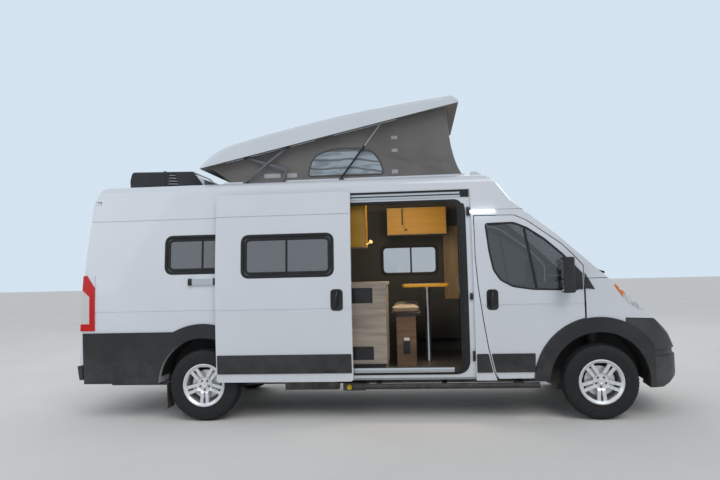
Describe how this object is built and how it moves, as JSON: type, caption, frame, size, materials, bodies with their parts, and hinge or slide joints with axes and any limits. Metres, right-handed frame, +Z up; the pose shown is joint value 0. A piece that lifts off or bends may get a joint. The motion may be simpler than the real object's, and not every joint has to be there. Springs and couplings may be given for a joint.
{
  "type": "camper van",
  "caption": "Extended high-roof camper van with an open sliding side door, a raised pop-up roof with canvas sides, a rooftop air conditioner and a fitted interior.",
  "frame": {"origin": "on the ground, midway along the length and on the centre plane", "axes": "+X forwards along the van, +Y to the driver's side, +Z up"},
  "size_m": [6.3629, 2.3982, 3.3569],
  "materials": {
    "white_paint": "gloss",
    "black_plastic": "matt",
    "grey_plastic": "satin",
    "glass": "tinted",
    "lamp_glass": "clear",
    "red_lens": "gloss",
    "tyre": "matt",
    "alloy": "satin",
    "steel": "matt",
    "canvas": "woven",
    "arm_metal": "satin",
    "light_wood": "satin",
    "dark_plastic": "matt",
    "seat_fabric": "woven",
    "cushion_fabric": "woven",
    "lamp_white": "gloss"
  },
  "bodies": {
    "van": {"air_conditioner": "black_plastic", "bench_bed_and_table": "light_wood", "bumper_front": "grey_plastic", "bumper_rear": "black_plastic", "cab_seats": "seat_fabric", "cladding": "black_plastic", "cushions": "cushion_fabric", "dashboard": "dark_plastic", "door_rails": "arm_metal", "engine": "steel", "fenders": "white_paint", "firewall": "dark_plastic", "fixed_glass": "glass", "floor": "steel", "front_subframe": "steel", "galley_and_lockers": "light_wood", "grille": "black_plastic", "headlamps": "lamp_glass", "lift_brackets": "dark_plastic", "light_bar": "lamp_white", "pop_top_base": "white_paint", "pop_top_canvas": "canvas", "rear_axle": "steel", "roof": "white_paint", "side_wall_left": "white_paint", "side_wall_right": "white_paint", "sliding_door": "white_paint", "step_bar": "black_plastic", "tail_lamps": "red_lens", "underbody": "steel", "wheel_housings_front": "dark_plastic", "wheel_housings_rear": "dark_plastic"},
    "passenger_door": {"passenger_door": "white_paint", "passenger_door_glass": "glass", "mirror_passenger": "black_plastic"},
    "driver_door": {"driver_door": "white_paint", "driver_door_glass": "glass", "mirror_driver": "black_plastic"},
    "rear_door_right": {"rear_door_right": "white_paint", "rear_door_right_glass": "glass"},
    "rear_door_left": {"rear_door_left": "white_paint", "rear_door_left_glass": "glass"},
    "hood": {"hood": "white_paint"},
    "pop_top": {"pop_top_lid": "white_paint"},
    "lift_arms_straight": {"lift_arms_straight": "arm_metal"},
    "lift_arms_cranked": {"lift_arms_cranked": "arm_metal"},
    "strut_tubes": {"strut_tubes": "arm_metal"},
    "strut_rods": {"strut_rods": "arm_metal"},
    "knuckle_right": {"knuckle_right": "steel"},
    "knuckle_left": {"knuckle_left": "steel"},
    "wheel_front_right": {"rim_front_right": "alloy", "tyre_front_right": "tyre"},
    "wheel_front_left": {"rim_front_left": "alloy", "tyre_front_left": "tyre"},
    "wheel_rear_right": {"rim_rear_right": "alloy", "tyre_rear_right": "tyre"},
    "wheel_rear_left": {"rim_rear_left": "alloy", "tyre_rear_left": "tyre"}
  },
  "joints": [
    {"name": "passenger_door_hinge", "type": "hinge", "parent": "van", "child": "passenger_door", "pos_m": [2.088, -1.022, 1.05], "axis": [0, 0.03, 0.9996], "range_deg": [0, 70]},
    {"name": "driver_door_hinge", "type": "hinge", "parent": "van", "child": "driver_door", "pos_m": [2.088, 1.022, 1.05], "axis": [0, -0.03, 0.9996], "range_deg": [-70, 0]},
    {"name": "rear_door_right_hinge", "type": "hinge", "parent": "van", "child": "rear_door_right", "pos_m": [-3.174, -0.906, 0.605], "axis": [0.0694, 0, 0.9976], "range_deg": [0, 180]},
    {"name": "rear_door_left_hinge", "type": "hinge", "parent": "van", "child": "rear_door_left", "pos_m": [-3.174, 0.906, 0.605], "axis": [0.0694, 0, 0.9976], "range_deg": [-180, 0]},
    {"name": "hood_hinge", "type": "hinge", "parent": "van", "child": "hood", "pos_m": [2.452, 0, 1.426], "axis": [0, -1, 0], "range_deg": [0, 50]},
    {"name": "pop_top_hinge", "type": "hinge", "parent": "van", "child": "pop_top", "pos_m": [-2.55428, 0, 2.6035], "axis": [0, 1, 0], "range_deg": [0, 12], "deforming": ["pop_top_canvas"]},
    {"name": "straight_arm_pivot", "type": "hinge", "parent": "van", "child": "lift_arms_straight", "pos_m": [-1.383, 0, 2.52], "axis": [0, 1, 0], "range_deg": [0, 35.94]},
    {"name": "cranked_arm_pivot", "type": "hinge", "parent": "van", "child": "lift_arms_cranked", "pos_m": [-0.97, 0, 2.52], "axis": [0, 1, 0], "range_deg": [-30.66, 0]},
    {"name": "strut_pivot", "type": "hinge", "parent": "van", "child": "strut_tubes", "pos_m": [-0.333, 0, 2.52], "axis": [0, 1, 0], "range_deg": [0, 49.6]},
    {"name": "strut_slide", "type": "slide", "parent": "strut_tubes", "child": "strut_rods", "axis": [0.6087, 0, 0.7934], "range_m": [-0.24556, 0]},
    {"name": "steer_right", "type": "hinge", "parent": "van", "child": "knuckle_right", "pos_m": [2.2335, -0.835, 0.372], "axis": [0, 0, 1], "range_deg": [-33, 33]},
    {"name": "steer_left", "type": "hinge", "parent": "van", "child": "knuckle_left", "pos_m": [2.2335, 0.835, 0.372], "axis": [0, 0, 1], "range_deg": [-33, 33]},
    {"name": "spin_front_right", "type": "hinge", "parent": "knuckle_right", "child": "wheel_front_right", "pos_m": [2.2335, -0.905, 0.372], "axis": [0, 1, 0], "continuous": true},
    {"name": "spin_front_left", "type": "hinge", "parent": "knuckle_left", "child": "wheel_front_left", "pos_m": [2.2335, 0.905, 0.372], "axis": [0, 1, 0], "continuous": true},
    {"name": "spin_rear_right", "type": "hinge", "parent": "van", "child": "wheel_rear_right", "pos_m": [-1.8015, -0.892, 0.372], "axis": [0, 1, 0], "continuous": true},
    {"name": "spin_rear_left", "type": "hinge", "parent": "van", "child": "wheel_rear_left", "pos_m": [-1.8015, 0.892, 0.372], "axis": [0, 1, 0], "continuous": true}
  ],
  "couplings": [
    {"joint": "straight_arm_pivot", "follows": "pop_top_hinge", "ratio": 2.9906},
    {"joint": "cranked_arm_pivot", "follows": "pop_top_hinge", "ratio": -2.5506},
    {"joint": "strut_pivot", "follows": "pop_top_hinge", "ratio": 4.129},
    {"joint": "strut_slide", "follows": "pop_top_hinge", "m_per_rad": -1.1677},
    {"joint": "steer_left", "follows": "steer_right", "ratio": 1}
  ]
}
